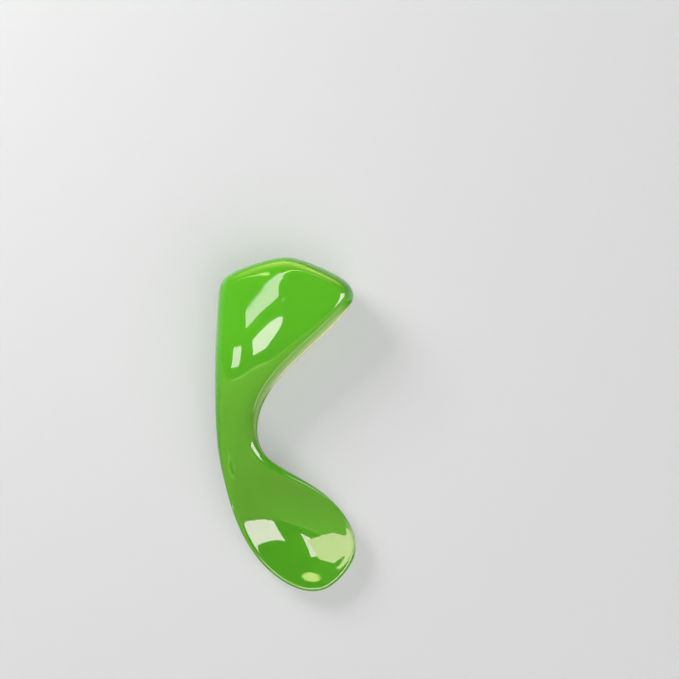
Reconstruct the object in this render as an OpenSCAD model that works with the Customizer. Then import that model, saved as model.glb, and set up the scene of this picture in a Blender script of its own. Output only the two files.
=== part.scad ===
// Curved spoon for a baby that has just learnt to hold one.
// A chunky hollow handle fills the fist, turns through a round neck and opens into a shallow
// bowl that faces the child. The front moulding is the bowl, the neck and the front half of
// the handle in one. The rear moulding closes the hollow of the handle and the neck.
// The spoon lies on its back: bowl and front to +Z, handle end to +Y, mouth of the bend to +X.
// The origin is on the table, under the middle of the spoon's length and width.

/* [Overall] */
// Length from the end of the handle to the tip of the bowl
spoon_l = 110.5; // [100:0.5:125]
// Width over the bend, from the outer side of the neck to the tip of the handle
spoon_w = 46.5; // [43:0.5:53]
// Height of the parting line of handle and neck above the table
seam_z = 10; // [9:0.25:12]

/* [Handle] */
// Height of the handle's crown above the parting line
crown_h = 11.5; // [9:0.5:13]
// Radius that rounds the handle's front and back into its sides
handle_round = 4.5; // [3:0.25:5.5]

/* [Neck] */
// Height of the neck's front above the parting line
neck_front = 4.5; // [4:0.1:6]
// Depth of the neck's back below the parting line
neck_back = 6.2; // [5.5:0.1:8]

/* [Bowl] */
// Height of the rim's edge above the table, which the parting line runs down to past the neck
rim_z = 6; // [5:0.25:8]
// Thickness of the bowl's floor
floor_t = 2.2; // [1.8:0.1:3]
// Width of the rim's lip
lip_w = 1.8; // [1.4:0.1:2.4]
// Height of the lip above the rim's edge
lip_rise = 0.8; // [0.5:0.1:1.2]
// Run of the bowl's inner wall from the lip to where the floor begins to round out
wall_run = 2.2; // [1.8:0.1:3]

/* [Shell] */
// Wall thickness of both mouldings around the hollow
wall_t = 2; // [1.6:0.1:2.4]
// Gap between the two mouldings along the parting line
seam_gap = 0.05; // [0.03:0.01:0.1]
// Height of the tongue that locates the rear moulding in the front one
tongue_h = 0.8; // [0.5:0.1:1]
// Thickness of the tongue
tongue_t = 0.8; // [0.6:0.1:1]
// Clearance between the tongue and the front moulding
tongue_gap = 0.1; // [0.05:0.05:0.2]

/* [Hidden] */

// Surface steps between two ribs, and across each span of a section
rib_steps = 4;
front_steps = 3;
back_steps = 2;

// Ribs from the handle's end to the bowl's tip. Each has its left end, its point on the
// spine and its right end, as shares of the width and of the length in the plan.
rib_share = [
    [0.517, 1.007, 0.517, 0.924, 0.517, 1.007],
    [0.340, 0.990, 0.517, 0.924, 0.694, 0.981],
    [0.160, 0.964, 0.513, 0.904, 0.857, 0.951],
    [0.038, 0.936, 0.537, 0.875, 0.971, 0.918],
    [0.023, 0.880, 0.534, 0.851, 0.996, 0.877],
    [0.016, 0.820, 0.487, 0.818, 0.925, 0.832],
    [0.006, 0.748, 0.395, 0.766, 0.787, 0.773],
    [0.000, 0.677, 0.294, 0.706, 0.616, 0.709],
    [0.000, 0.605, 0.227, 0.635, 0.445, 0.638],
    [0.003, 0.533, 0.170, 0.550, 0.332, 0.567],
    [0.009, 0.464, 0.148, 0.473, 0.283, 0.482],
    [0.033, 0.390, 0.184, 0.402, 0.334, 0.411],
    [0.074, 0.315, 0.270, 0.340, 0.467, 0.372],
    [0.122, 0.240, 0.375, 0.285, 0.638, 0.333],
    [0.194, 0.164, 0.485, 0.228, 0.801, 0.287],
    [0.305, 0.090, 0.585, 0.175, 0.935, 0.226],
    [0.457, 0.032, 0.635, 0.138, 1.014, 0.151],
    [0.620, -0.002, 0.660, 0.100, 0.990, 0.085],
    [0.808, -0.002, 0.660, 0.100, 0.808, -0.002]
];
// How much of the handle's swell each rib has, in front and behind, from neck to crown
front_swell_share = [0.92, 0.92, 0.95, 0.95, 0.94, 0.96, 0.94, 0.86, 0.65, 0.33, 0.05, 0, 0, 0, 0, 0, 0, 0, 0];
back_swell_share = [1, 1, 1, 1, 1, 1, 1, 1, 0.85, 0.45, 0.08, 0, 0, 0, 0, 0, 0, 0, 0];
// How much more of the front's swell a rib has on its left side, and less on its right side
front_lean_share = [0, 0.03, 0.02, 0.02, 0.04, 0, -0.01, -0.01, -0.06, -0.065, -0.05, 0, 0, 0, 0, 0, 0, 0, 0];
// How much each rib belongs to the bowl: its hollow in front, its deep back behind
hollow_share = [0, 0, 0, 0, 0, 0, 0, 0, 0, 0, 0, 0.2, 0.48, 0.82, 0.98, 1, 1, 0.98, 0.98];
bowl_share = [0, 0, 0, 0, 0, 0, 0, 0, 0, 0, 0, 0.12, 0.40, 0.72, 0.93, 1, 1, 1, 1];

// How far each rib's edge has come down from the parting line to the bowl's rim
rim_share = [0, 0, 0, 0, 0, 0, 0, 0, 0, 0, 0, 0, 0, 0.35, 0.75, 0.96, 1, 1, 1];

// The rear moulding ends at the first rib that belongs to the bowl, behind the neck
last_rib = len(rib_share) - 1;
seam_rib = len([for (share = bowl_share) if (share == 0) share]);

// Depth of the bowl's floor below the rim's edge
bowl_d = rim_z - floor_t;
// Inset of the rear moulding's inner wall, which stands behind the tongue
tongue_inset = wall_t + tongue_gap;
inner_inset = tongue_inset + tongue_t;

// Mix of two values or points
function mix(a, b, share) = a + (b - a) * share;

// Height of the edge at rib i above the table. The bowl's back reaches the table.
function edge_z(i) = mix(seam_z, rim_z, rim_share[i]);

// Point of a uniform cubic spline between b and c
function spline(a, b, c, d, t) =
    (pow(1 - t, 3) * a + (3 * t * t * t - 6 * t * t + 4) * b
        + (-3 * t * t * t + 3 * t * t + 3 * t + 1) * c + t * t * t * d) / 6;

// Spline through the ends of an open row of control points
function open_row(p, steps) = let (
    n = len(p) - 1,
    q = concat([2 * p[0] - p[1]], p, [2 * p[n] - p[n - 1]])
) concat(
    [for (i = [0:n - 1], s = [0:steps - 1]) spline(q[i], q[i + 1], q[i + 2], q[i + 3], s / steps)],
    [p[n]]
);

// Point of a closed loop of control points, counted in steps from its first point
function loop_point(p, s) = let (
    n = len(p),
    k = (s + n * rib_steps) % (n * rib_steps),
    i = floor(k / rib_steps)
) spline(p[(i + n - 1) % n], p[i], p[(i + 1) % n], p[(i + 2) % n], (k % rib_steps) / rib_steps);

// Plan point of a rib: side 0 is its left end, side 1 the spine and side 2 its right end
function plan(i, side) = [
    (rib_share[i][2 * side] - 1 / 2) * spoon_w,
    (rib_share[i][2 * side + 1] - 1 / 2) * spoon_l
];

// The ribs' ends as one closed loop, down the left side and back up the right
function around(left, right) = concat(
    [for (i = [0:last_rib]) left[i]],
    [for (i = [last_rib - 1:-1:1]) right[i]]
);
ribs = [0:last_rib];
rib_numbers = [for (i = ribs) i];
edge_loop = around([for (i = ribs) plan(i, 0)], [for (i = ribs) plan(i, 2)]);
spine_loop = around([for (i = ribs) plan(i, 1)], [for (i = ribs) plan(i, 1)]);
rib_loop = around(rib_numbers, rib_numbers);
loop_n = len(edge_loop);

// Unit vector that points from loop point n into the outline, square to its edge
function inward(n) = let (
    chord = edge_loop[(n + 1) % loop_n] - edge_loop[(n + loop_n - 1) % loop_n]
) [-chord[1], chord[0]] / norm(chord);

// Section tables from the edge to the spine: the handle's crown on its outer side and on the
// inner side of the bend, the handle's back, the neck, and the bowl's back. Each of the six
// rows has a share of the rounding, a share of the way on to the spine, and one of the height.
crown_form_share = [[0, 0, 0], [0, 0, 0.42], [0.4, 0, 0.72], [0.9, 0.06, 0.845], [1, 0.52, 0.983], [1, 1, 1]];
inner_form_share = [[0, 0, 0], [0, 0, 0.42], [0.4, 0, 0.845], [0.75, 0.06, 0.965], [1, 0.5, 0.972], [1, 1, 1]];
base_form_share = [[0, 0, 0], [0, 0, 0.5], [0.4, 0, 0.9], [1, 0.06, 0.985], [1, 0.52, 1], [1, 1, 1]];
neck_form_share = [[0, 0, 0], [0, 0, 0.32], [1, 0, 0.61], [1, 0.28, 0.85], [1, 0.63, 0.97], [1, 1, 1.015]];
keel_form_share = [[0, 0, 0], [0, 0, 0.12], [1, 0, 0.56], [1, 0.25, 0.88], [1, 0.6, 1], [1, 1, 1]];
// The neck's sides round off over this share of its half width
round_inset_share = 0.17;
// Number of the sections' last row, on the spine
top = len(crown_form_share) - 1;
// Form of the bowl's inside, on the outer and on the inner side of the bend: depth of the wall
// at the end of its run, depth of the floor's edge, and where that lies on the way to the spine
outer_bowl_share = [0.12, 0.78, 0.48];
inner_bowl_share = [0.25, 0.86, 0.42];

// Rows of [offset from the edge, share of the way on to the spine, height]
function section(table, r, h) = [for (row = table) [row[0] * r, row[1], row[2] * h]];
function hollow_section(share) = [
    [0, 0, 0],
    [0, 0, lip_rise],
    [lip_w, 0, lip_rise],
    [lip_w + wall_run, 0, -bowl_d * share[0]],
    [lip_w + wall_run, share[2], -bowl_d * share[1]],
    [lip_w + wall_run, 1, -bowl_d]
];

// Section of handle and neck for half width w: the form and height of the neck, the form and
// height of the handle, the share of the handle on the spine, and how much more it is off it
function grip_section(w, neck_form, neck_h, handle_form, handle_h, swell, lean) = let (
    neck = section(neck_form, w * round_inset_share, neck_h),
    handle = section(handle_form, min(handle_round, w / 2), handle_h)
) [for (k = [0:top]) mix(neck[k], handle[k], k < top ? swell + lean : swell)];
// Section of the front at rib i, set back from the crown by t. side is 1 on the left, the outer
// side of the bend, and -1 on the right. The hollow inside the neck is as boxy as the one inside
// the handle, so that the tongue has room.
function front_section(i, w, t, side) = let (
    crown_form = side > 0 ? crown_form_share : inner_form_share
) mix(
    grip_section(
        w, t > 0 ? crown_form : neck_form_share, neck_front - t,
        crown_form, crown_h - t, front_swell_share[i], front_lean_share[i] * side
    ),
    hollow_section(side > 0 ? outer_bowl_share : inner_bowl_share),
    hollow_share[i]
);
// Section of the back at rib i, as depths below the edge
function back_section(i, w, t) = mix(
    grip_section(
        w, t > 0 ? base_form_share : neck_form_share, neck_back - t,
        base_form_share, seam_z - t, back_swell_share[i], 0
    ),
    section(keel_form_share, lip_w, edge_z(i)),
    bowl_share[i]
);

// Control point k at loop point n of a skin, which lies inset inside the outline and t inside
// the face. up is 1 in front and -1 behind, where the skin starts a seam gap lower.
function control(n, k, up, inset, t) = let (
    i = rib_loop[n],
    w = norm(spine_loop[n] - edge_loop[n]) - inset,
    sec = (up > 0 ? front_section(i, w, t, n > last_rib ? -1 : 1) : back_section(i, w, t))[k],
    p = mix(edge_loop[n] + inward(n) * (inset + sec[0]), spine_loop[n], sec[1])
) [p[0], p[1], edge_z(i) + (up > 0 ? sec[2] : -max(sec[2], seam_gap))];

// Level k of a skin's net, one closed loop of control points
function level(k, up, inset, t) = [for (n = [0:loop_n - 1]) control(n, k, up, inset, t)];

// Rows of points across a skin, from its left edge over the spine to its right edge, one row
// for each step along the ribs from the first rib to the last
function skin(up, inset, t, first, last, steps) = let (
    net = [for (k = [0:top]) level(k, up, inset, t)]
) [for (s = [first * rib_steps:last * rib_steps]) open_row(concat(
    [for (k = [0:top]) loop_point(net[k], s)],
    [for (k = [top - 1:-1:0]) loop_point(net[k], -s)]
), steps)];

// All the points of a list of rows, one after another
function flat(rows) = [for (r = rows, p = r) p];

// Point numbers of the rows of a skin that starts at a number. A folded row, at the handle's
// end or the bowl's tip, runs back over its own first half.
function skin_ids(start, rows, folded) = let (c = len(rows[0])) [for (r = [0:len(rows) - 1])
    [for (j = [0:c - 1]) start + r * c + (r == folded && j > (c - 1) / 2 ? c - 1 - j : j)]];

// Faces of a band between two rows of point numbers. A face whose corners meet is left out.
function band(a, b) = [for (
    j = [0:len(a) - 2],
    f = [[a[j], b[j + 1], b[j]], [a[j], a[j + 1], b[j + 1]]]
) if (f[0] != f[1] && f[1] != f[2] && f[2] != f[0]) f];

// Faces of a skin from the point numbers of its rows
function skin_faces(ids) = [for (r = [0:len(ids) - 2]) each band(ids[r], ids[r + 1])];

// Column j of the point numbers, up to row last
function column(ids, j, last) = [for (r = [0:last]) ids[r][j]];

function turned(list) = [for (i = [len(list) - 1:-1:0]) list[i]];

// Behind, the mouldings meet on an upright plane through the outline's two points at the seam
// rib. beyond() is how far a point lies past it, towards the bowl.
seam_row = seam_rib * rib_steps;
seam_left = loop_point(edge_loop, seam_row);
seam_way = loop_point(edge_loop, -seam_row) - seam_left;
seam_normal = [seam_way[1], -seam_way[0]] / norm(seam_way);
function beyond(p) = ([p[0], p[1]] - seam_left) * seam_normal;

// A row slid along its skin, on the line through the next row, to lie a gap short of the plane
function to_seam(row, next, gap) = [for (j = [0:len(row) - 1]) let (
    here = beyond(row[j]) + gap,
    there = beyond(next[j]) + gap
) row[j] + (next[j] - row[j]) * (here / (here - there))];
function last_to_seam(rows, gap) = let (e = len(rows) - 1) [for (r = [0:e])
    r < e ? rows[r] : to_seam(rows[e], rows[e - 1], gap)];
function first_to_seam(rows, gap) = [for (r = [0:len(rows) - 1])
    r > 0 ? rows[r] : to_seam(rows[0], rows[1], gap)];

module spoon_body() {
    front = skin(1, 0, 0, 0, last_rib, front_steps);
    ceiling = last_to_seam(skin(1, wall_t, wall_t, 0, seam_rib, back_steps), 0);
    keel = first_to_seam(skin(-1, 0, 0, seam_rib, last_rib, back_steps), 0);
    fc = len(front[0]) - 1;
    kc = len(keel[0]) - 1;
    ceiling_start = len(flat(front));
    keel_start = ceiling_start + len(flat(ceiling));
    tip_row = len(front) - 1;
    handle_front = skin_ids(0, front, 0);
    front_ids = [for (r = [0:tip_row]) r < tip_row ? handle_front[r] : skin_ids(0, front, r)[r]];
    ceiling_ids = skin_ids(ceiling_start, ceiling, 0);
    own_keel = skin_ids(keel_start, keel, len(keel) - 1);
    // The keel's edge points are the front's own, so that the rim has no seam
    keel_ids = [for (r = [0:len(keel) - 1]) [for (j = [0:kc])
        j == 0 ? front_ids[seam_row + r][0] : j == kc ? front_ids[seam_row + r][fc] : own_keel[r][j]]];
    color("yellowgreen") polyhedron(
        concat(flat(front), flat(ceiling), flat(keel)),
        concat(
            skin_faces(front_ids),
            skin_faces(turned(ceiling_ids)),
            skin_faces(turned(keel_ids)),
            band(keel_ids[0], ceiling_ids[seam_row]),
            band(column(front_ids, 0, seam_row), column(ceiling_ids, 0, seam_row)),
            band(column(ceiling_ids, kc, seam_row), column(front_ids, fc, seam_row))
        )
    );
}

module handle_back() {
    outer = last_to_seam(skin(-1, 0, 0, 0, seam_rib, back_steps), seam_gap);
    inner = skin(-1, inner_inset, wall_t, 0, seam_rib, back_steps);
    foot = level(0, -1, tongue_inset, 0);
    c = len(inner[0]) - 1;
    // Each row of the lining climbs the tongue, crosses the hollow and climbs down again. At
    // either end it has three points on the tongue.
    tongue_n = 3;
    lining = last_to_seam([for (s = [0:len(inner) - 1]) let (
        left = loop_point(foot, s),
        right = loop_point(foot, -s),
        rise = [0, 0, tongue_h + seam_gap]
    ) concat(
        [left, left + rise, inner[s][0] + rise],
        inner[s],
        [inner[s][c] + rise, right + rise, right]
    )], seam_gap);
    outer_ids = skin_ids(0, outer, 0);
    lining_ids = skin_ids(len(flat(outer)), lining, 0);
    end = len(outer) - 1;
    lip = lining_ids[end];
    m = len(lip) - 1;
    // First point of a lining row that faces the shell's outside below the tongue
    shell_j = tongue_n + 1;
    color("yellowgreen") polyhedron(
        concat(flat(outer), flat(lining)),
        concat(
            skin_faces(turned(outer_ids)),
            skin_faces(lining_ids),
            band(column(lining_ids, 0, end), column(outer_ids, 0, end)),
            band(column(outer_ids, c, end), column(lining_ids, m, end)),
            // The open end, round the shell and up the tongue's two ends
            band(concat([lip[0]], [for (j = [shell_j:m - shell_j]) lip[j]], [lip[m]]), outer_ids[end]),
            [
                [for (j = [0:tongue_n]) lip[j]],
                [lip[0], lip[tongue_n], lip[shell_j]],
                [for (j = [m - tongue_n:m]) lip[j]],
                [lip[m], lip[m - shell_j], lip[m - tongue_n]]
            ]
        )
    );
}

spoon_body();
handle_back();
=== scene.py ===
# %% [markdown]
# A curved spoon for a baby, moulded in glossy lime green plastic.
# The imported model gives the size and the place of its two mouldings. This lesson builds the
# surfaces that are seen: one smooth skin over the whole spoon, split where the two mouldings
# meet, then the plastic, the floor, the lamps and the camera.

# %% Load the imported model
import math

import bmesh
import bpy
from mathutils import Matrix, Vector


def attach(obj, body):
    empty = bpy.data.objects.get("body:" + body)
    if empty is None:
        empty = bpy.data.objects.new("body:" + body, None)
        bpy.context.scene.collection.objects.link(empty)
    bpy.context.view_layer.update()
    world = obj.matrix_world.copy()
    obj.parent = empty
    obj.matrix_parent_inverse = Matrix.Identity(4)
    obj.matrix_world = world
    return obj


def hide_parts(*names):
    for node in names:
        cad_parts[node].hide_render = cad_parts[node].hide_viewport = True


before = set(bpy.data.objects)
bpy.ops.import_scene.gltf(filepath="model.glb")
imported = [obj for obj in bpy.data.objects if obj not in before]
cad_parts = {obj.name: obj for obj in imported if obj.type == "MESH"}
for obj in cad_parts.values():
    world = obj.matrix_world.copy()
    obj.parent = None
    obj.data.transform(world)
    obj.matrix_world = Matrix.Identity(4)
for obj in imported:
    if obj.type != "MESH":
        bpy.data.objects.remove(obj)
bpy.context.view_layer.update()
MM = 0.001

# %% [markdown]
# The spoon lies on its back. Seen from above it is a bent drop shape: a chunky handle, a slim
# neck and a bowl. It could be drawn as an outline and blown up, but then nothing would steer
# the shape between its edges. So a modeller lays ribs across it, from the handle's end to the
# bowl's tip, and gives each rib a left end, a point on the spine and a right end. The ribs are
# shares of the width and of the length, so that the whole form follows these two sizes.

# %% Sizes of the spoon
SPOON_W = 46.5 * MM
SPOON_L = 110.5 * MM
SEAM_Z = 10 * MM
CROWN_H = 11.5 * MM
HANDLE_ROUND = 4.5 * MM
NECK_FRONT = 4.5 * MM
NECK_BACK = 6.2 * MM
RIM_Z = 6 * MM
FLOOR_T = 2.2 * MM
LIP_W = 1.8 * MM
LIP_RISE = 0.8 * MM
WALL_RUN = 2.2 * MM
BOWL_D = RIM_Z - FLOOR_T
print("spoon", round(SPOON_W / MM, 1), "x", round(SPOON_L / MM, 1), "mm")
print("bowl", round(BOWL_D / MM, 1), "mm deep under its rim")

# %% The ribs, seen from above
# Left end, spine and right end of each rib, as a share of the width and of the length
RIB_SHARE = [
    (0.517, 1.007, 0.517, 0.924, 0.517, 1.007),
    (0.340, 0.990, 0.517, 0.924, 0.694, 0.981),
    (0.160, 0.964, 0.513, 0.904, 0.857, 0.951),
    (0.038, 0.936, 0.537, 0.875, 0.971, 0.918),
    (0.023, 0.880, 0.534, 0.851, 0.996, 0.877),
    (0.016, 0.820, 0.487, 0.818, 0.925, 0.832),
    (0.006, 0.748, 0.395, 0.766, 0.787, 0.773),
    (0.000, 0.677, 0.294, 0.706, 0.616, 0.709),
    (0.000, 0.605, 0.227, 0.635, 0.445, 0.638),
    (0.003, 0.533, 0.170, 0.550, 0.332, 0.567),
    (0.009, 0.464, 0.148, 0.473, 0.283, 0.482),
    (0.033, 0.390, 0.184, 0.402, 0.334, 0.411),
    (0.074, 0.315, 0.270, 0.340, 0.467, 0.372),
    (0.122, 0.240, 0.375, 0.285, 0.638, 0.333),
    (0.194, 0.164, 0.485, 0.228, 0.801, 0.287),
    (0.305, 0.090, 0.585, 0.175, 0.935, 0.226),
    (0.457, 0.032, 0.635, 0.138, 1.014, 0.151),
    (0.620, -0.002, 0.660, 0.100, 0.990, 0.085),
    (0.808, -0.002, 0.660, 0.100, 0.808, -0.002),
]
LAST_RIB = len(RIB_SHARE) - 1
print(LAST_RIB + 1, "ribs")

# %% [markdown]
# From rib to rib the spoon turns from handle to neck to bowl. Rows of shares, with one number
# for each rib, say how far each change has come: the swell is how much of the handle's height
# there is, the lean how much more of it there is on the outer side of the bend, the hollow how
# far the front has become the inside of the bowl, the bowl how far the back has become its
# keel, and the rim how far the edge has come down to the bowl's rim. The rear moulding ends
# where the keel begins.

# %% How the ribs change along the spoon
FRONT_SWELL_SHARE = [0.92, 0.92, 0.95, 0.95, 0.94, 0.96, 0.94, 0.86, 0.65, 0.33, 0.05] + 8 * [0]
FRONT_LEAN_SHARE = [0, 0.03, 0.02, 0.02, 0.04, 0, -0.01, -0.01, -0.06, -0.065, -0.05] + 8 * [0]
BACK_SWELL_SHARE = 8 * [1] + [0.85, 0.45, 0.08] + 8 * [0]
HOLLOW_SHARE = 11 * [0] + [0.2, 0.48, 0.82, 0.98, 1, 1, 0.98, 0.98]
BOWL_SHARE = 11 * [0] + [0.12, 0.40, 0.72, 0.93, 1, 1, 1, 1]
RIM_SHARE = 13 * [0] + [0.35, 0.75, 0.96, 1, 1, 1]
SEAM_RIB = BOWL_SHARE.count(0)
print("the rear moulding ends at rib", SEAM_RIB)

# %% [markdown]
# Across a rib the surface climbs from the edge over a rounding to the spine. A few section
# forms are enough: the crown of the handle on the outer and on the inner side of the bend, its
# flatter base, the round neck and the keel under the bowl. Each is six rows of shares: of the
# rounding's radius, of the way on to the spine, and of the height. Between the forms the ribs
# blend, so that the handle melts into the neck and the neck opens into the bowl without a
# crease.

# %% Section forms
CROWN_FORM_SHARE = [
    (0, 0, 0), (0, 0, 0.42), (0.4, 0, 0.72), (0.9, 0.06, 0.845), (1, 0.52, 0.983), (1, 1, 1),
]
INNER_FORM_SHARE = [
    (0, 0, 0), (0, 0, 0.42), (0.4, 0, 0.845), (0.75, 0.06, 0.965), (1, 0.5, 0.972), (1, 1, 1),
]
BASE_FORM_SHARE = [
    (0, 0, 0), (0, 0, 0.5), (0.4, 0, 0.9), (1, 0.06, 0.985), (1, 0.52, 1), (1, 1, 1),
]
NECK_FORM_SHARE = [
    (0, 0, 0), (0, 0, 0.32), (1, 0, 0.61), (1, 0.28, 0.85), (1, 0.63, 0.97), (1, 1, 1.015),
]
KEEL_FORM_SHARE = [
    (0, 0, 0), (0, 0, 0.12), (1, 0, 0.56), (1, 0.25, 0.88), (1, 0.6, 1), (1, 1, 1),
]
TOP = len(CROWN_FORM_SHARE) - 1
print("sections of", TOP + 1, "rows")


# %% Blend two sections
def mix(a, b, share):
    """A number between two others."""
    return a + (b - a) * share


def mixed(rows_a, rows_b, share):
    """A section between two others, row by row."""
    return [tuple(mix(a, b, share) for a, b in zip(*rows)) for rows in zip(rows_a, rows_b)]


def sized(form, radius, height):
    """A section form at a real rounding and height."""
    return [(row[0] * radius, row[1], row[2] * height) for row in form]


print("halfway from the neck to the crown:", mixed(NECK_FORM_SHARE, CROWN_FORM_SHARE, 0.5)[TOP])

# %% [markdown]
# The handle and the neck share one kind of section, solid and rounded. The bowl has another: a
# rolled lip, a wall and a floor, with the wall steeper on the inner side of the bend. Its floor
# lies under the rim, so its heights are negative.

# %% Section of the handle and the neck
NECK_ROUND_SHARE = 0.17
ROUND_LIMIT_SHARE = 0.5


def grip_section(half_w, neck_h, form, height, swell, lean):
    """The swell says how much is handle on the spine, and the lean how much more off it."""
    neck = sized(NECK_FORM_SHARE, half_w * NECK_ROUND_SHARE, neck_h)
    handle = sized(form, min(HANDLE_ROUND, half_w * ROUND_LIMIT_SHARE), height)
    return mixed(neck, handle, swell + lean)[:TOP] + mixed(neck, handle, swell)[TOP:]


print("rounding of the handle up to", round(HANDLE_ROUND / MM, 1), "mm")

# %% Section of the bowl's inside
# Depth of the wall, depth of the floor and where the floor rounds out, on either side
OUTER_BOWL_SHARE = (0.12, 0.78, 0.48)
INNER_BOWL_SHARE = (0.25, 0.86, 0.42)


def hollow_section(wall_depth, floor_depth, floor_edge):
    """The bowl's inside, from its lip down the wall to the floor."""
    return [
        (0, 0, 0),
        (0, 0, LIP_RISE),
        (LIP_W, 0, LIP_RISE),
        (LIP_W + WALL_RUN, 0, -BOWL_D * wall_depth),
        (LIP_W + WALL_RUN, floor_edge, -BOWL_D * floor_depth),
        (LIP_W + WALL_RUN, 1, -BOWL_D),
    ]


print("lip", round(LIP_W / MM, 1), "mm wide, wall over", round(WALL_RUN / MM, 1), "mm")


# %% Section of any rib
def edge_z(rib):
    """Height of the outline, which runs down from the parting line to the bowl's rim."""
    return mix(SEAM_Z, RIM_Z, RIM_SHARE[rib])


def front_section(rib, half_w, side):
    """Heights above the edge, on the face that looks up. Side is 1 on the left, else -1."""
    outer = side > 0
    form = CROWN_FORM_SHARE if outer else INNER_FORM_SHARE
    lean = FRONT_LEAN_SHARE[rib] * side
    grip = grip_section(half_w, NECK_FRONT, form, CROWN_H, FRONT_SWELL_SHARE[rib], lean)
    bowl = hollow_section(*(OUTER_BOWL_SHARE if outer else INNER_BOWL_SHARE))
    return mixed(grip, bowl, HOLLOW_SHARE[rib])


def back_section(rib, half_w):
    """Depths below the edge, on the face that lies on the table. Both sides are alike."""
    grip = grip_section(half_w, NECK_BACK, BASE_FORM_SHARE, SEAM_Z, BACK_SWELL_SHARE[rib], 0)
    return mixed(grip, sized(KEEL_FORM_SHARE, LIP_W, edge_z(rib)), BOWL_SHARE[rib])


print("edge from", round(edge_z(0) / MM, 1), "down to", round(edge_z(LAST_RIB) / MM, 1), "mm")

# %% [markdown]
# The outline is walked once round, down the left ends of the ribs and back up the right ends.
# Each station on it knows its rib, its point on the spine and the way inwards, and from these
# the place of every corner of the cage follows.

# %% Stations round the outline
STATION_N = 2 * LAST_RIB


def rib_of(station):
    """The rib that a station belongs to."""
    return min(station, STATION_N - station)


def plan(rib, point):
    """Point of a rib, seen from above: 0 is its left end, 1 the spine, 2 its right end."""
    x_share, y_share = RIB_SHARE[rib][2 * point : 2 * point + 2]
    return Vector(((x_share - 0.5) * SPOON_W, (y_share - 0.5) * SPOON_L))


def outline_point(station):
    """A station's own point, seen from above."""
    station %= STATION_N
    return plan(rib_of(station), 0 if station <= LAST_RIB else 2)


def inward(station):
    """Unit vector square to the outline, pointing into the spoon."""
    chord = outline_point(station + 1) - outline_point(station - 1)
    return Vector((-chord.y, chord.x)).normalized()


print(STATION_N, "stations, outline starts at", [round(v / MM, 1) for v in outline_point(0)])


# %% Corners of the cage
def corner(station, level, up):
    """Place of a corner. Level 0 is the outline and the last level is the spine."""
    rib = rib_of(station)
    edge, spine = outline_point(station), plan(rib, 1)
    half_w = (spine - edge).length
    side = 1 if station <= LAST_RIB else -1
    section = front_section(rib, half_w, side) if up > 0 else back_section(rib, half_w)
    offset, share, height = section[level]
    flat = (edge + inward(station) * offset).lerp(spine, share)
    return Vector((flat.x, flat.y, edge_z(rib) + up * height))


print("top of the handle's end:", round(corner(0, TOP, 1).z / MM, 1), "mm")

# %% [markdown]
# The cage is drawn by hand, as one would with a mouse, because a few hundred corners in the
# right places give a calmer surface than thousands. It starts as a circle with one corner for
# each station, and the corners are dragged into the outline. A number stored on each corner
# remembers its station, and an extruded corner keeps it.

# %% A circle with a corner for each station
# Corners closer than this count as one
TOUCH = 0.01 * MM
bpy.ops.object.select_all(action="DESELECT")
bpy.ops.mesh.primitive_circle_add(vertices=STATION_N, radius=SPOON_W / 2, location=(0, 0, SEAM_Z))
spoon = bpy.context.object
spoon.name = "front_moulding"
bpy.ops.object.transform_apply(location=True)
bpy.ops.object.mode_set(mode="EDIT")
bpy.ops.mesh.select_mode(type="VERT")
cage = bmesh.from_edit_mesh(spoon.data)
station_layer = cage.verts.layers.int.new("station")
for station, vertex in enumerate(list(cage.verts)):
    vertex[station_layer] = station
print("circle of", len(cage.verts), "corners")


# %% Drag the circle into the outline
def drag(places):
    """Drags each selected corner to the place for its station, one after another."""
    cage = bmesh.from_edit_mesh(spoon.data)
    layer = cage.verts.layers.int["station"]
    picked = {v.index: v[layer] for v in cage.verts if v.select}
    for index, station in picked.items():
        bpy.ops.mesh.select_all(action="DESELECT")
        cage = bmesh.from_edit_mesh(spoon.data)
        cage.verts.ensure_lookup_table()
        vertex = cage.verts[index]
        vertex.select_set(True)
        cage.select_flush_mode()
        bpy.ops.transform.translate(value=places(station) - vertex.co)
    return sorted(picked)


outline = drag(lambda station: corner(station, 0, 1))
print(len(outline), "corners in the outline")

# %% [markdown]
# The outline's edge is extruded ring by ring, up and over to the spine for the front, and down
# and under for the back. Each new ring is dragged to its level of the sections. On the last
# ring the left and the right corners meet on the spine and are merged, so the skin is closed.


# %% The rings of the front and of the back
def pick(corners):
    """Selects only these corners, by their numbers, with the edges between them."""
    bpy.ops.mesh.select_all(action="DESELECT")
    cage = bmesh.from_edit_mesh(spoon.data)
    cage.verts.ensure_lookup_table()
    for index in corners:
        cage.verts[index].select_set(True)
    cage.select_flush_mode()
    bmesh.update_edit_mesh(spoon.data)


for up in (1, -1):
    pick(outline)
    for level in range(1, TOP + 1):
        bpy.ops.mesh.extrude_edges_move()
        ring = drag(lambda station: corner(station, level, up))
        pick(ring)
bpy.ops.mesh.select_all(action="SELECT")
bpy.ops.mesh.remove_doubles(threshold=TOUCH)
bpy.ops.mesh.normals_make_consistent(inside=False)
cage = bmesh.from_edit_mesh(spoon.data)
print("cage:", len(cage.verts), "corners,", len(cage.faces), "faces")

# %% [markdown]
# The parting line stays a crisp edge of the surface, because both mouldings end there, so the
# outline gets a full crease. The faces of the rear moulding are given a second material slot
# while the cage is coarse: they are the back's faces down to the seam rib. Subdivision hands
# the slot on to every small face, and afterwards the two mouldings separate cleanly by it.

# %% Crease the outline
bpy.ops.mesh.select_all(action="DESELECT")
cage = bmesh.from_edit_mesh(spoon.data)
layer = cage.verts.layers.int["station"]


def on_outline(vertex):
    """Whether a corner still lies where its station is."""
    return (vertex.co - corner(vertex[layer], 0, 1)).length < TOUCH


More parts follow.
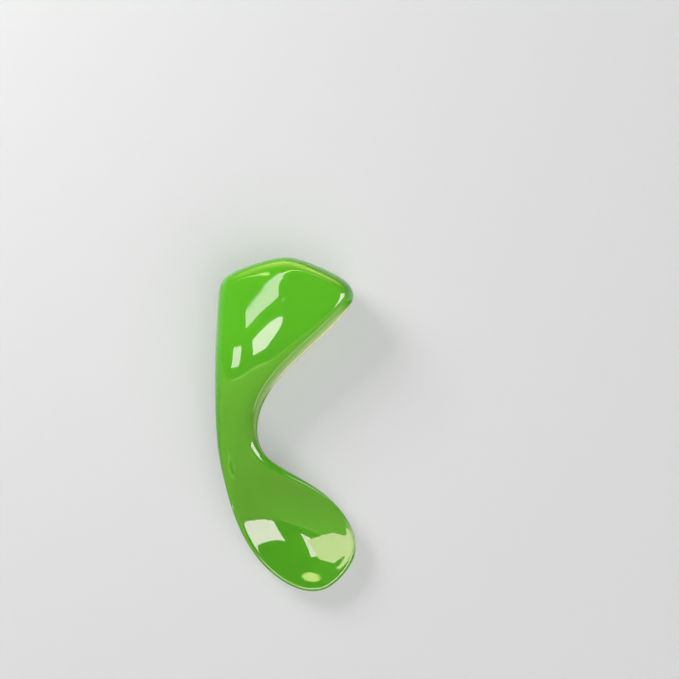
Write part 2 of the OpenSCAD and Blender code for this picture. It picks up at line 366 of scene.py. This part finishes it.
for edge in cage.edges:
    edge.select_set(all(on_outline(v) for v in edge.verts))
creased = sum(edge.select for edge in cage.edges)
bmesh.update_edit_mesh(spoon.data)
bpy.ops.transform.edge_crease(value=1)
print(creased, "edges creased")

# %% Mark the rear moulding
for name in ("front", "rear"):
    spoon.data.materials.append(bpy.data.materials.new(name))
bpy.ops.mesh.select_all(action="DESELECT")
bpy.ops.mesh.select_mode(type="FACE")
cage = bmesh.from_edit_mesh(spoon.data)
layer = cage.verts.layers.int["station"]
for face in cage.faces:
    lowest = min(v.co.z - edge_z(rib_of(v[layer])) for v in face.verts)
    in_handle = all(rib_of(v[layer]) <= SEAM_RIB for v in face.verts)
    face.select_set(lowest < -TOUCH and in_handle)
rear_faces = sum(face.select for face in cage.faces)
bmesh.update_edit_mesh(spoon.data)
spoon.active_material_index = 1
bpy.ops.object.material_slot_assign()
bpy.ops.object.mode_set(mode="OBJECT")
print(rear_faces, "cage faces belong to the rear moulding")

# %% [markdown]
# The real plastic flows from one form into the next, so the cage only steers a smooth skin. A
# Subdivision Surface rounds it off, and four levels are fine enough for the sharp reflections
# in the gloss. Then the skin is parted by its material slots into the two mouldings.

# %% Smooth the cage and part the two mouldings
SMOOTH_LEVELS = 4
smooth = spoon.modifiers.new("smooth", "SUBSURF")
smooth.levels = SMOOTH_LEVELS
smooth.render_levels = SMOOTH_LEVELS
bpy.ops.object.modifier_apply(modifier=smooth.name)
bpy.ops.object.mode_set(mode="EDIT")
bpy.ops.mesh.select_all(action="SELECT")
bpy.ops.mesh.separate(type="MATERIAL")
bpy.ops.object.mode_set(mode="OBJECT")
halves = [o for o in bpy.context.selected_objects if o.type == "MESH"]
print("halves:", [(o.name, len(o.data.polygons)) for o in halves])

# %% [markdown]
# Each half is now an open shell. On the real spoon a tongue and a ledge close the parting line.
# Here each half is closed by two flat faces, one across the end of the neck and one along the
# parting line. The edge round them is bevelled very slightly, which leaves the fine groove that
# shows where two mouldings meet.

# %% Close an open half
# A point further than this below the parting line is off it
HAIR = 0.001 * MM


def neck_end(rim):
    """Of the points on the open edge, those across the end of the neck."""
    below = {v for v in rim if v.co.z < SEAM_Z - HAIR}
    ends = {e.other_vert(v) for v in below for e in v.link_edges if e.is_boundary}
    return below | ends


def fill(half, choose):
    """Closes the chosen points of the open edge with one face. With list, it takes them all."""
    bpy.ops.mesh.select_all(action="DESELECT")
    mesh = bmesh.from_edit_mesh(half.data)
    rim = [v for v in mesh.verts if any(e.is_boundary for e in v.link_edges)]
    for v in choose(rim):
        v.select_set(True)
    mesh.select_flush_mode()
    bpy.ops.mesh.edge_face_add()


print("a half is closed by two faces, below and along", round(SEAM_Z / MM, 1), "mm")

# %% Bevel the edge of the closing faces
GROOVE = 0.09 * MM
SHARP_ANGLE = math.radians(40)


def cut_groove(half):
    """Bevels the outer edge of the closing faces, which alone have more than four corners."""
    bpy.ops.mesh.select_mode(type="FACE")
    mesh = bmesh.from_edit_mesh(half.data)
    for face in mesh.faces:
        face.select_set(len(face.verts) > 4)
    caps = sum(face.select for face in mesh.faces)
    bmesh.update_edit_mesh(half.data)
    bpy.ops.mesh.region_to_loop()
    bpy.ops.mesh.bevel(offset=GROOVE, segments=1, affect="EDGES")
    return caps


def count_open(piece):
    """Number of edges at which a mesh isn't closed."""
    mesh = bmesh.new()
    mesh.from_mesh(piece.data)
    found = sum(not e.is_manifold for e in mesh.edges)
    mesh.free()
    return found


for half in halves:
    bpy.ops.object.select_all(action="DESELECT")
    half.select_set(True)
    bpy.context.view_layer.objects.active = half
    bpy.ops.object.mode_set(mode="EDIT")
    bpy.ops.mesh.select_mode(type="VERT")
    fill(half, neck_end)
    fill(half, list)
    caps = cut_groove(half)
    bpy.ops.mesh.select_all(action="SELECT")
    bpy.ops.mesh.normals_make_consistent(inside=False)
    bpy.ops.object.mode_set(mode="OBJECT")
    bpy.ops.object.shade_smooth_by_angle(angle=SHARP_ANGLE)
    print(half.name, "closed with", caps, "faces, open edges:", count_open(half))

# %% Name the two mouldings
rear, front = sorted(halves, key=lambda half: max(v.co.z for v in half.data.vertices))
front.name, rear.name = "front_moulding", "rear_moulding"
print("front:", len(front.data.polygons), "faces, rear:", len(rear.data.polygons), "faces")

# %% [markdown]
# The plastic is polypropylene with its colour mixed through. It is a saturated lime green with a
# mirror gloss, and it is slightly cloudy, so that light sinks in a little before it comes back.
# A flat colour would look like a toy on a screen. The real finish has a colour that drifts a
# little and a gloss that is not perfect: long soft waves from the mould, and fine handling
# marks. Colour and gloss are written as expressions, with a small class that turns Python
# operators into shader nodes.


# %% A small shader language
class Wire:
    """A socket in a material's tree. Maths on wires adds Math nodes."""

    def __init__(self, tree, socket=None):
        self.tree = tree
        self.socket = socket

    def node(self, kind, settings, sockets, output=0):
        """Adds any node: its settings first, then the values or wires of its sockets."""
        node = self.tree.nodes.new("ShaderNode" + kind)
        for name, value in settings.items():
            setattr(node, name, value)
        for name, value in sockets.items():
            if isinstance(value, Wire):
                self.tree.links.new(value.socket, node.inputs[name])
            else:
                node.inputs[name].default_value = value
        return Wire(self.tree, node.outputs[output] if node.outputs else None)

    def maths(self, operation, *values):
        return self.node("Math", {"operation": operation}, dict(enumerate(values)))

    def __add__(self, other):
        return self.maths("ADD", self, other)

    __radd__ = __add__

    def __mul__(self, other):
        return self.maths("MULTIPLY", self, other)

    __rmul__ = __mul__

    def __sub__(self, other):
        return self.maths("SUBTRACT", self, other)

    def __rsub__(self, other):
        return self.maths("SUBTRACT", other, self)


def empty_tree(material):
    """Clears a material's nodes, and returns a wire that new nodes can be added to."""
    material.use_nodes = True
    material.node_tree.nodes.clear()
    return Wire(material.node_tree)


print("shader language ready")

# %% [markdown]
# The handle and the bowl don't look the same green, because the light falls more strongly on the
# handle than on the bowl. That light and shade is painted into the colour: the lime runs from a
# shaded green at the bowl to a lit green at the handle. On top of that, broad cloudy patches of a
# deeper lime stand for uneven pigment.

# %% The lime green colour, with painted light and shade
# Painted light and shade: the handle's lime is the lit green, the bowl's the shaded green
HANDLE_LIME_LIT = (0.132, 0.600, 0.018, 1)
BOWL_LIME_SHADED = (0.102, 0.445, 0.014, 1)
DEEP_LIME = (0.080, 0.360, 0.010, 1)
BLEND_FROM = 0
BLEND_TO = 33 * MM
PATCH_NOISE = {"Scale": 45, "Detail": 2}
PATCH_SHARE = 0.2


def lime_with_painted_light(place):
    """Painted light: lime, shaded at the bowl and lit at the handle, with broad deeper patches.
    """
    length = place.node("SeparateXYZ", {}, {0: place}, output="Y")
    ramp = {"Value": length, "From Min": BLEND_FROM, "From Max": BLEND_TO}
    along = place.node("MapRange", {"interpolation_type": "SMOOTHSTEP"}, ramp)
    # Painted light: the green brightens from the shaded bowl to the lit handle
    ends = {"Factor": along, 6: BOWL_LIME_SHADED, 7: HANDLE_LIME_LIT}
    lime = place.node("Mix", {"data_type": "RGBA"}, ends, output=2)
    patches = place.node("TexNoise", {}, {"Vector": place, **PATCH_NOISE})
    depth = {"Factor": PATCH_SHARE * patches, 6: lime, 7: DEEP_LIME}
    return place.node("Mix", {"data_type": "RGBA"}, depth, output=2)


print("lime blends from the bowl to the handle over", round(BLEND_TO / MM), "mm")

# %% The glossy plastic
MARK_NOISE = {"Scale": 900, "Detail": 3}
GLOSS_LEAST = 0.02
GLOSS_SPREAD = 0.03
WAVE_NOISE = {"Scale": 120, "Detail": 0}
WAVE_STRENGTH = 0.03
WAVE_HEIGHT = 0.2 * MM
PLASTIC_IOR = 1.5
CLOUDY_SHARE = 0.2
CLOUDY_RADIUS = (0.6, 1, 0.2)
CLOUDY_DEPTH = 1.5 * MM


def lime_plastic(material):
    """The whole finish: colour, marks in the gloss, waves of the mould and a little cloud."""
    tree = empty_tree(material)
    place = tree.node("TexCoord", {}, {}, output="Object")
    marks = place.node("TexNoise", {}, {"Vector": place, **MARK_NOISE})
    waves = place.node("TexNoise", {}, {"Vector": place, **WAVE_NOISE})
    bump = {"Strength": WAVE_STRENGTH, "Distance": WAVE_HEIGHT, "Height": waves}
    plastic = tree.node("BsdfPrincipled", {}, {
        "Base Color": lime_with_painted_light(place),
        "Roughness": GLOSS_LEAST + GLOSS_SPREAD * marks,
        "Normal": place.node("Bump", {}, bump),
        "IOR": PLASTIC_IOR,
        "Subsurface Weight": CLOUDY_SHARE,
        "Subsurface Radius": CLOUDY_RADIUS,
        "Subsurface Scale": CLOUDY_DEPTH,
    })
    tree.node("OutputMaterial", {}, {"Surface": plastic})


for half in (front, rear):
    half.data.materials.clear()
    plastic = bpy.data.materials.new("lime_plastic_" + half.name)
    half.data.materials.append(plastic)
    lime_plastic(plastic)
print("finish on", front.name, "and", rear.name)

# %% [markdown]
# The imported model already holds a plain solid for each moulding. The smooth pieces take their
# place in the picture, while the solids stay behind them for weight and collision.

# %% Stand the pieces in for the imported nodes
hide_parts("spoon_body")
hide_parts("handle_back")
for half in (front, rear):
    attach(half, "root")
print(front.name, "and", rear.name, "ride on the root body")

# %% [markdown]
# The floor is a plain pale sheet. It is larger than any view of the spoon and reaches behind
# it, so its own colour is the background. It glows a little, but only for the camera and for
# reflections, so that it looks pale without lighting the spoon, and it keeps the soft shadow.

# %% The floor
WHITE = (1, 1, 1, 1)
FLOOR_SIZE = 6
FLOOR_PALE = 0.5
FLOOR_ROUGHNESS = 0.9
FLOOR_GLOW = 0.3


def pale_floor(material):
    """A matt pale sheet that glows a little where it is looked at or mirrored."""
    tree = empty_tree(material)
    seen = tree.node("LightPath", {}, {}, output="Is Camera Ray")
    mirrored = tree.node("LightPath", {}, {}, output="Is Glossy Ray")
    sheet = tree.node("BsdfPrincipled", {}, {
        "Base Color": (FLOOR_PALE, FLOOR_PALE, FLOOR_PALE, 1),
        "Roughness": FLOOR_ROUGHNESS,
        "Specular IOR Level": 0,
        "Emission Color": WHITE,
        "Emission Strength": FLOOR_GLOW * (seen + mirrored),
    })
    tree.node("OutputMaterial", {}, {"Surface": sheet})


bpy.ops.object.select_all(action="DESELECT")
bpy.ops.mesh.primitive_plane_add(size=FLOOR_SIZE, location=(0, 0, 0))
floor = bpy.context.object
floor.name = "floor"
pale = bpy.data.materials.new("pale_floor")
pale_floor(pale)
floor.data.materials.append(pale)
print("floor", FLOOR_SIZE, "m square")

# %% [markdown]
# The gloss is read from its highlights. Each bright patch on the handle and in the bowl is the
# picture of a lamp, so a studio places its lamps by where their pictures should fall. Area
# lights would also light the floor and blur the picture, so each picture is a glowing sheet
# with four corners that only reflections see. Some fade out towards a side, as light on a
# wall does. One glows on one side only, the side that the bowl mirrors.


# %% The light of a glowing panel
def faded(tree, strength, soft):
    """A strength that fades in from the left, right, near and far side over these shares."""
    uv = tree.node("TexCoord", {}, {}, output="UV")
    across = tree.node("SeparateXYZ", {}, {0: uv}, output="X")
    along = tree.node("SeparateXYZ", {}, {0: uv}, output="Y")
    light = strength
    for wire, share in zip((across, 1 - across, along, 1 - along), soft):
        if share:
            ramp = {"Value": wire, "From Min": 0, "From Max": share}
            light = light * tree.node("MapRange", {"interpolation_type": "SMOOTHSTEP"}, ramp)
    return light


def glow(material, colour, strength, soft, one_sided):
    """A light that may fade towards its sides, and may be clear from behind."""
    tree = empty_tree(material)
    light = faded(tree, strength, soft) if any(soft) else strength
    surface = tree.node("Emission", {}, {"Color": (*colour, 1), "Strength": light})
    if one_sided:
        behind = tree.node("NewGeometry", {}, {}, output="Backfacing")
        clear = tree.node("BsdfTransparent", {}, {})
        surface = tree.node("MixShader", {}, {0: behind, 1: surface, 2: clear})
    tree.node("OutputMaterial", {}, {"Surface": surface})


print("light for the panels ready")


# %% A glowing panel
def glow_panel(name, corners, colour, strength, soft=(0, 0, 0, 0), one_sided=False):
    """A glowing sheet with four corners: near left, near right, far left and far right."""
    bpy.ops.object.select_all(action="DESELECT")
    bpy.ops.mesh.primitive_plane_add(size=1, location=(0, 0, 0))
    panel = bpy.context.object
    panel.name = name
    bpy.ops.object.mode_set(mode="EDIT")
    bpy.ops.mesh.select_mode(type="VERT")
    for index, place in enumerate(corners):
        bpy.ops.mesh.select_all(action="DESELECT")
        mesh = bmesh.from_edit_mesh(panel.data)
        mesh.verts.ensure_lookup_table()
        mesh.verts[index].select_set(True)
        mesh.select_flush_mode()
        bpy.ops.transform.translate(value=Vector(place) - mesh.verts[index].co)
    bpy.ops.object.mode_set(mode="OBJECT")
    material = bpy.data.materials.new(name)
    glow(material, colour, strength, soft, one_sided)
    panel.data.materials.append(material)
    panel.visible_camera = False
    panel.visible_diffuse = False
    panel.visible_shadow = False
    print(name, "glows at", strength)


def lying(corners, height):
    """Corners of a panel that lies level at a height."""
    return [(x, y, height) for x, y in corners]


def standing(left, right, top):
    """Corners of a panel that stands on the floor between two points."""
    return [(*left, 0), (*right, 0), (*left, top), (*right, top)]


print("panels can lie level or stand upright")

# %% [markdown]
# Three windows hang over the spoon. Two of them give the sharp patches in the middle and on the
# left of the handle, and the third the patch on the left of the bowl. Their white is a little
# pink, because it adds to the green of the plastic and the sum looks white. The curved plastic
# bends straight edges, so the corners are given in degrees from overhead, which is how a mirror
# sees them.

# %% The windows
LAMP_HEIGHT = 1.2
TARGET = Vector((0, 0, 10 * MM))
WINDOW_WHITE = (1, 0.72, 0.88)
WINDOWS = {
    "window": (((-4, -13.4), (3.8, -14.6), (-15, 0), (0, 2)), 14),
    "window_left": (((-38, -13), (-25, -14), (-35, -1), (-26, 0)), 12),
    "window_right": (((29, -16), (57, -9), (25, 3), (56, 16)), 15),
}


def overhead(right, up):
    """A point over the spoon, in degrees from straight overhead, towards +X and towards +Y."""
    angle = math.radians(math.hypot(right, up))
    way = Vector((right, up)).normalized() * math.tan(angle)
    return TARGET + LAMP_HEIGHT * Vector((way.x, way.y, 1))


for name, (corners, strength) in WINDOWS.items():
    glow_panel(name, [overhead(*degrees) for degrees in corners], WINDOW_WHITE, strength)
print(len(WINDOWS), "windows hang", LAMP_HEIGHT, "m over the spoon")

# %% [markdown]
# The bright wedge on the upper handle comes from a strip of light. A far strip would mirror in
# the tip of the bowl too, so this one hangs low, close over the handle's end, and runs away
# from it. It is bent once, so it is made of two sheets that share an edge. A second strip,
# wide and far away, makes the oval in the tip of the bowl.

# %% The strips
STRIP_Z = 45 * MM
STRIP_GLOW = 10
STRIP_SOFT = (0.3, 0, 0, 0)
STRIP_ROWS_MM = (
    ((-22.5, 39.5), (-22.8, 32.4)),
    ((-14.2, 47.4), (-3, 42.5)),
    ((-42, 370), (-1, 730)),
)
for name, near, far in zip(("strip", "strip_end"), STRIP_ROWS_MM, STRIP_ROWS_MM[1:]):
    corners = [(x * MM, y * MM, STRIP_Z) for x, y in near + far]
    glow_panel(name, corners, WINDOW_WHITE, STRIP_GLOW, STRIP_SOFT)

CREAM = (1, 0.9, 0.4)
LOW_STRIP = ((-1.1, 1.65), (1.1, 1.65), (-1.6, 3), (1.6, 3))
LOW_STRIP_GLOW = 11
LOW_STRIP_SOFT = (0.25, 0.25, 0.15, 0.4)
glow_panel("low_strip", lying(LOW_STRIP, LAMP_HEIGHT), CREAM, LOW_STRIP_GLOW, LOW_STRIP_SOFT)
print("strips", round(STRIP_Z / MM), "mm and", LAMP_HEIGHT, "m over the floor")

# %% [markdown]
# The neck and the head of the bowl look paler than the handle, with a clear line between. They
# lean towards the foot of the spoon and mirror a wide cream card there. The card reaches so
# far that its end lies on the horizon. A brighter band along its edge draws the line.

# %% The cards at the foot
CARD_HEIGHT = 1.3
CARD_GLOW = 1.4
EDGE_GLOW = 3
FAR = 25
CARD = ((-FAR, -FAR), (FAR, -FAR), (-FAR, -0.78), (FAR, -0.27))
CARD_SIDE = ((0.44, -0.5), (FAR, -0.5), (1.27, -0.26), (FAR, 1.3))
CARD_EDGE = ((-1, -0.54), (0.45, -0.525), (-1, -0.51), (0.42, -0.495))
glow_panel("card", lying(CARD, CARD_HEIGHT), CREAM, CARD_GLOW)
glow_panel("card_side", lying(CARD_SIDE, CARD_HEIGHT), CREAM, CARD_GLOW)
glow_panel("card_edge", lying(CARD_EDGE, CARD_HEIGHT), CREAM, EDGE_GLOW)
print("cards hang", CARD_HEIGHT, "m over the floor")

# %% [markdown]
# Four more cards finish the picture. A yellow one stands beyond the handle's end and warms it.
# One leans on the left of the bowl and gives the patch on the bowl's right side. Two warm ones,
# upright in the distance and flat on the floor, light the flank inside the bend.

# %% The cards beside the spoon
YELLOW = (1, 0.82, 0.3)
END_CARD = ((-0.05, 0.078), (0.055, 0.07), 0.034)
END_CARD_GLOW = 5
END_CARD_SOFT = (0.45, 0.35, 0.4, 0.6)
glow_panel("end_card", standing(*END_CARD), YELLOW, END_CARD_GLOW, END_CARD_SOFT)

CREAM_WHITE = (1, 0.75, 0.6)
BOWL_CARD = (
    (0.0055, -0.0551, 0.1166), (-0.0862, -0.1104, 0.1153),
    (-0.0102, -0.0268, 0.0236), (-0.1019, -0.0820, 0.0224),
)
BOWL_CARD_GLOW = 11
glow_panel("bowl_card", BOWL_CARD, CREAM_WHITE, BOWL_CARD_GLOW, one_sided=True)

WARM = (1, 0.66, 0.62)
LOW_CARD = ((0.7, -1.32), (1.32, -0.7), 0.65)
LOW_CARD_GLOW = 5
LOW_CARD_SOFT = (0.2, 0.2, 0, 0.6)
glow_panel("low_card", standing(*LOW_CARD), WARM, LOW_CARD_GLOW, LOW_CARD_SOFT)

FLOOR_GAP = 0.5 * MM
FLOOR_CARD = ((0.1, -0.22), (0.25, -0.08), (-0.004, 0.008), (0.028, 0.04))
FLOOR_CARD_GLOW = 2.2
FLOOR_CARD_SOFT = (0.2, 0.1, 0.3, 0)
glow_panel("floor_card", lying(FLOOR_CARD, FLOOR_GAP), WARM, FLOOR_CARD_GLOW, FLOOR_CARD_SOFT)
print("four cards beside the spoon")

# %% [markdown]
# The panels only make pictures, so two soft boxes give the light itself. The key stands beyond
# the handle on the left and shapes it, and the fill is a wide box from the other side that
# softens the shadows. Neither shows in the gloss, where it would add a patch of its own.

# %% The key light and the fill light
HANDLE = Vector((-5, 28, 21)) * MM
KEY_PLACE = Vector((-0.35, 0.35, 0.3))
KEY_SIZE = 0.25
KEY_POWER = 2.3
FILL_PLACE = Vector((0.7, -0.8, 1.3))
FILL_SIZE = 2
FILL_POWER = 20


def soft_box(name, place, target, size, power):
    """A square lamp aimed at a point. It gives light, but no picture of itself in the gloss."""
    bpy.ops.object.select_all(action="DESELECT")
    turn = (target - place).to_track_quat("-Z", "Y").to_euler()
    bpy.ops.object.light_add(type="AREA", location=place, rotation=turn)
    lamp = bpy.context.object
    lamp.name = name
    lamp.data.size = size
    lamp.data.energy = power
    lamp.visible_glossy = False
    print(name, round((target - place).length, 2), "m away,", power, "W")


soft_box("key", KEY_PLACE, HANDLE, KEY_SIZE, KEY_POWER)
soft_box("fill", FILL_PLACE, TARGET, FILL_SIZE, FILL_POWER)

# %% [markdown]
# A studio is never quite dark. A weak even light from all round stands for its walls, so that
# no side of the spoon turns black when it is looked at from behind.

# %% The room
ROOM_LIGHT = 0.15
world = bpy.data.worlds.new("studio")
bpy.context.scene.world = world
world.use_nodes = True
room = world.node_tree.nodes["Background"]
room.inputs["Color"].default_value = WHITE
room.inputs["Strength"].default_value = ROOM_LIGHT
print("room light", ROOM_LIGHT)

# %% [markdown]
# The camera looks straight down, as the photograph was taken. Its middle lies up and to the
# right of the spoon, because the photograph shows more than the spoon. The distances come from
# the scale of the photograph.

# %% The camera
PHOTO_SIZE = 679
PHOTO_SCALE = 0.33 * MM
SPOON_MIDDLE_PX = (285.6, 425.1)
CAMERA_DISTANCE = 0.8
half_view = PHOTO_SIZE * PHOTO_SCALE / 2
camera_data = bpy.data.cameras.new("camera")
camera = bpy.data.objects.new("camera", camera_data)
bpy.context.collection.objects.link(camera)
camera_x = (PHOTO_SIZE / 2 - SPOON_MIDDLE_PX[0]) * PHOTO_SCALE
camera_y = (SPOON_MIDDLE_PX[1] - PHOTO_SIZE / 2) * PHOTO_SCALE
camera.location = (camera_x, camera_y, SEAM_Z + CAMERA_DISTANCE)
camera_data.lens = camera_data.sensor_width / 2 / half_view * CAMERA_DISTANCE
bpy.context.scene.camera = camera
bpy.context.scene.view_settings.view_transform = "Standard"
print("lens", round(camera_data.lens, 1), "mm")
